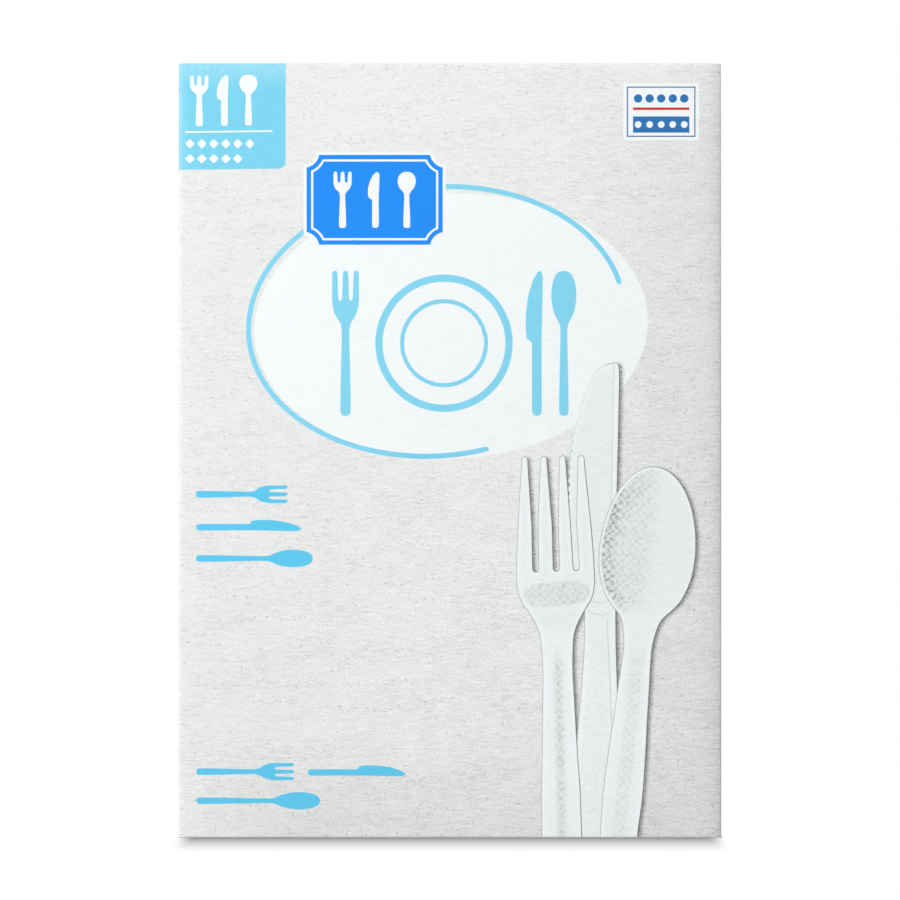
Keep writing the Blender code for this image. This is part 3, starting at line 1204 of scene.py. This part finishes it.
# %% [markdown]
# The cutlery on the front is drawn as pale plastic: a thin grey line round it, light on the left
# and dark on the right, a white rim inside the line, a cooler middle, and hollows shaded in small
# dots as a coarse printing screen leaves them.

# %% Shading of printed plastic
RIM_WHITE = (0.90, 0.945, 0.955, 1)
MIDDLE_WHITE = (0.862, 0.905, 0.915, 1)
LIT_LINE = (0.44, 0.45, 0.45, 1)
DARK_LINE = (0.16, 0.165, 0.165, 1)


def band(r, value, low_edge, high_edge, fade):
    """1 while value is between two edges, fading to 0 outside them."""
    rising = r.step(value, low_edge - fade, low_edge + fade)
    return r.times(rising, r.step(value, high_edge + fade, high_edge - fade))


def dots(r, across, along, pitch):
    """A coarse screen of dots, 0 to 1, on a slanting square grid that two noises push about."""
    turn = 2 * math.pi / pitch / math.sqrt(2)
    shift = r.times_plus(stray, 2.0 * pitch, across)
    lift = r.times_plus(tremble, 2.0 * pitch, along)
    first = r.maths("SINE", r.times(r.plus(shift, lift), turn))
    second = r.maths("SINE", r.times(r.minus(shift, lift), turn))
    wave = r.step(r.plus(first, second), -1.4, 1.6)
    return r.times(wave, r.step(stray, 0.32, 0.62, 0.42, 1.0))


def plastic(r, under, own, cast, hollow, lines, outlined=1.0):
    """One piece of cutlery over what is there.

    own is split into across, along and inside. hollow is how deep each point's shading is, lines
    how strongly it lies on a drawn line, and outlined how strong its outline is there.
    """
    lit = r.over(r.minus(own[2], cast), CAST[0])
    side = r.step(lit, -0.6, 1.2)
    depth = r.minus(own[2], r.times_plus(side, -0.12, 0.12))
    body = r.mix(r.step(depth, 0.5, 1.5), RIM_WHITE, MIDDLE_WHITE)
    # Painted light: each piece is made a little lighter towards the foot and darker higher up
    body = r.shade(body, r.minus(r.step(up, -15.0, -65.0, 0.975, 1.03), hollow))
    body = r.mix(r.times(lines, 0.45), body, LIT_LINE)
    line = r.mix(side, DARK_LINE, LIT_LINE)
    line_width = r.times_plus(side, -0.04, 0.20)
    edge = r.step(r.minus(depth, line_width), 0.10, -0.10)
    body = r.mix(r.times(edge, outlined), body, line)
    return r.mix(r.step(depth, -SOFT, SOFT), under, body)


# %% Shadows under the cutlery
SHADOW_DEPTH = 0.85
nearest = r.most(cast[0], r.most(cast[1], cast[2]))
grainy = r.times_plus(paper["Grain"], 1.8, nearest)
fall = r.step(grainy, -0.35, 1.10, 0.0, SHADOW_DEPTH)
fall = r.times(fall, r.times_plus(tremble, 0.9, 0.55))
colour = r.mix(fall, colour, SHADOW_INK)

# %% Knife
# The blade's small teeth, where they are along it, and their length and depth
TEETH, TOOTH_LENGTH, TOOTH_DEPTH = (72, 100), 1.0, 0.5
# How fast the handle's rails run outwards towards the foot, and how light the lines beside are
RAIL_SLANT, SHINE = 0.0235, 0.06
# How wide apart the screen's dots are, and how dark in the handle's groove and elsewhere
KNIFE_PITCH, KNIFE_GROOVE_TONE, KNIFE_TONE = 1.2, 0.03, 0.035

across, along, depth = knife_own
teeth = r.maths("PINGPONG", r.plus(along, 0.7), TOOTH_LENGTH)
toothed = r.times(band(r, along, *TEETH, 1.0), r.step(across, -4.0, -6.0))
knife_depth = r.minus(depth, r.times(toothed, r.times(teeth, TOOTH_DEPTH)))
handle, blade = r.step(along, 51.5, 50.9), r.step(along, 56.0, 58.0)
rail_depth = r.times_plus(along, -RAIL_SLANT, knife_depth)
rails = r.times(band(r, rail_depth, 0.88, 1.10, 0.13), handle)
rails = r.times(rails, r.step(across, -0.5, 0.5, 0.12, 1.1))
spine = r.times(band(r, across, 1.95, 2.1, 0.12), blade)
rail_shine = r.times(band(r, rail_depth, 0.35, 0.55, 0.15), handle)
spine_shine = r.times(band(r, across, 2.45, 2.75, 0.15), blade)
shine = r.times(r.plus(rail_shine, spine_shine), SHINE)
# The blade's cutting side is drawn faintly, most of all towards its tip
faint = r.times(r.step(along, 56.0, 60.0, 1.0, 0.7), r.step(along, 90.0, 100.0, 1.0, 0.5))
outlined = r.most(faint, r.step(across, -1.5, 1.0))
bow = r.minus(along, r.times(r.times(across, across), 0.12))
bolster = r.most(band(r, bow, 51.95, 52.15, 0.12), band(r, bow, 54.75, 54.95, 0.12))
bolster = r.times(bolster, r.step(r.size(across), 3.0, 2.4))
knife_lines = r.most(r.most(rails, spine), bolster)
groove = r.times(band(r, across, -1.2, 2.2, 0.5), r.step(along, 49.0, 46.0))
screen = dots(r, across, along, KNIFE_PITCH)
knife_hollow = r.times(screen, r.times_plus(groove, KNIFE_GROOVE_TONE, KNIFE_TONE))
knife_hollow = r.minus(knife_hollow, shine)
knife_parts = (across, along, knife_depth)
colour = plastic(r, colour, knife_parts, cast[1], knife_hollow, knife_lines, outlined)

# %% Spoon
# How wide apart the dots of spoon and fork are, and how dark in the bowl and in the groove
PITCH, BOWL_TONE, SPOON_GROOVE_TONE = 1.35, 0.56, 0.15

across, along, depth = spoon_own
bowl = r.times(r.step(along, 51.0, 57.0), r.step(depth, 0.5, 1.0))
bowl = r.times(bowl, r.step(across, 4.0, -3.0))
deep = r.times(r.step(depth, 5.5, 0.8), r.step(along, 88.0, 75.0))
bowl = r.times(bowl, r.times_plus(deep, 0.72, 0.33))
groove = r.times(band(r, across, -1.6, 1.6, 0.6), r.step(along, 46.0, 40.0))
screen = dots(r, across, along, PITCH)
spoon_tone = r.most(r.times(bowl, BOWL_TONE), r.times(groove, SPOON_GROOVE_TONE))
spoon_hollow = r.times(spoon_tone, r.times_plus(screen, 0.90, 0.20))
colour = plastic(r, colour, spoon_own, cast[2], spoon_hollow, 0.0)

# %% Fork
# The dark patch below the tines: its middle, and half its width and height
PATCH_MIDDLE, PATCH_HALVES = 56.9, (7.9, 2.85)
PATCH_TONE, FORK_GROOVE_TONE, NECK_TONE = 0.225, 0.30, 0.04

across, along, _ = fork_own
wide = r.maths("POWER", r.size(r.times(across, 1 / PATCH_HALVES[0])), 4.0)
middle = r.minus(r.times_plus(across, -0.05, along), PATCH_MIDDLE)
tall = r.maths("POWER", r.times(middle, 1 / PATCH_HALVES[1]), 2.0)
patch = r.times(r.step(r.plus(wide, tall), 1.2, 0.75), r.step(across, -8.5, -3.5, 0.6, 1.0))
neck = r.times(band(r, along, 49.0, 53.0, 1.0), NECK_TONE)
groove = r.times(band(r, across, -0.9, 0.9, 0.9), r.step(along, 46.0, 38.0))
screen = dots(r, across, along, PITCH)
fork_tone = r.most(r.times(patch, PATCH_TONE), r.times(groove, FORK_GROOVE_TONE))
fork_tone = r.most(fork_tone, neck)
fork_hollow = r.times(fork_tone, r.times_plus(screen, 0.8, 0.3))
colour = plastic(r, colour, fork_own, cast[0], fork_hollow, 0.0)

# %% Strength of the ground's pattern
# It is weaker under ink, and grows a little towards the lower right
printed = r.most(r.most(inks[1], inks[2]), plaque)
pieces = r.most(fork_own[2], r.most(knife_depth, spoon_own[2]))
covered = r.step(r.most(printed, pieces), -SOFT, SOFT, 1.0, 0.4)
covered = r.least(covered, r.step(inks[0], -SOFT, SOFT, 1.0, 0.9))
growing = r.times_plus(left, 0.0048, r.times_plus(up, -0.0035, 1.0))
end_finish(r, paper, colour, r.times(covered, growing))
print(f"{front_print.name}: {len(front_print.node_tree.nodes)} nodes")

# %% [markdown]
# ## Putting it together
#
# All six sheets are one folded board in reality, so they ride on the same body and together stand
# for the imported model's one piece. The front gets its own finish, and the others the plain one.

# %% Put the finishes on
front_panel.data.materials.append(front_print)
for piece in plain_pieces:
    piece.data.materials.append(plain_print)

# %% Ride on the body
for piece in (front_panel, *plain_pieces):
    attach(piece, "root")
    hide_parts("carton")
print(f"{1 + len(plain_pieces)} sheets ride on the carton's body")
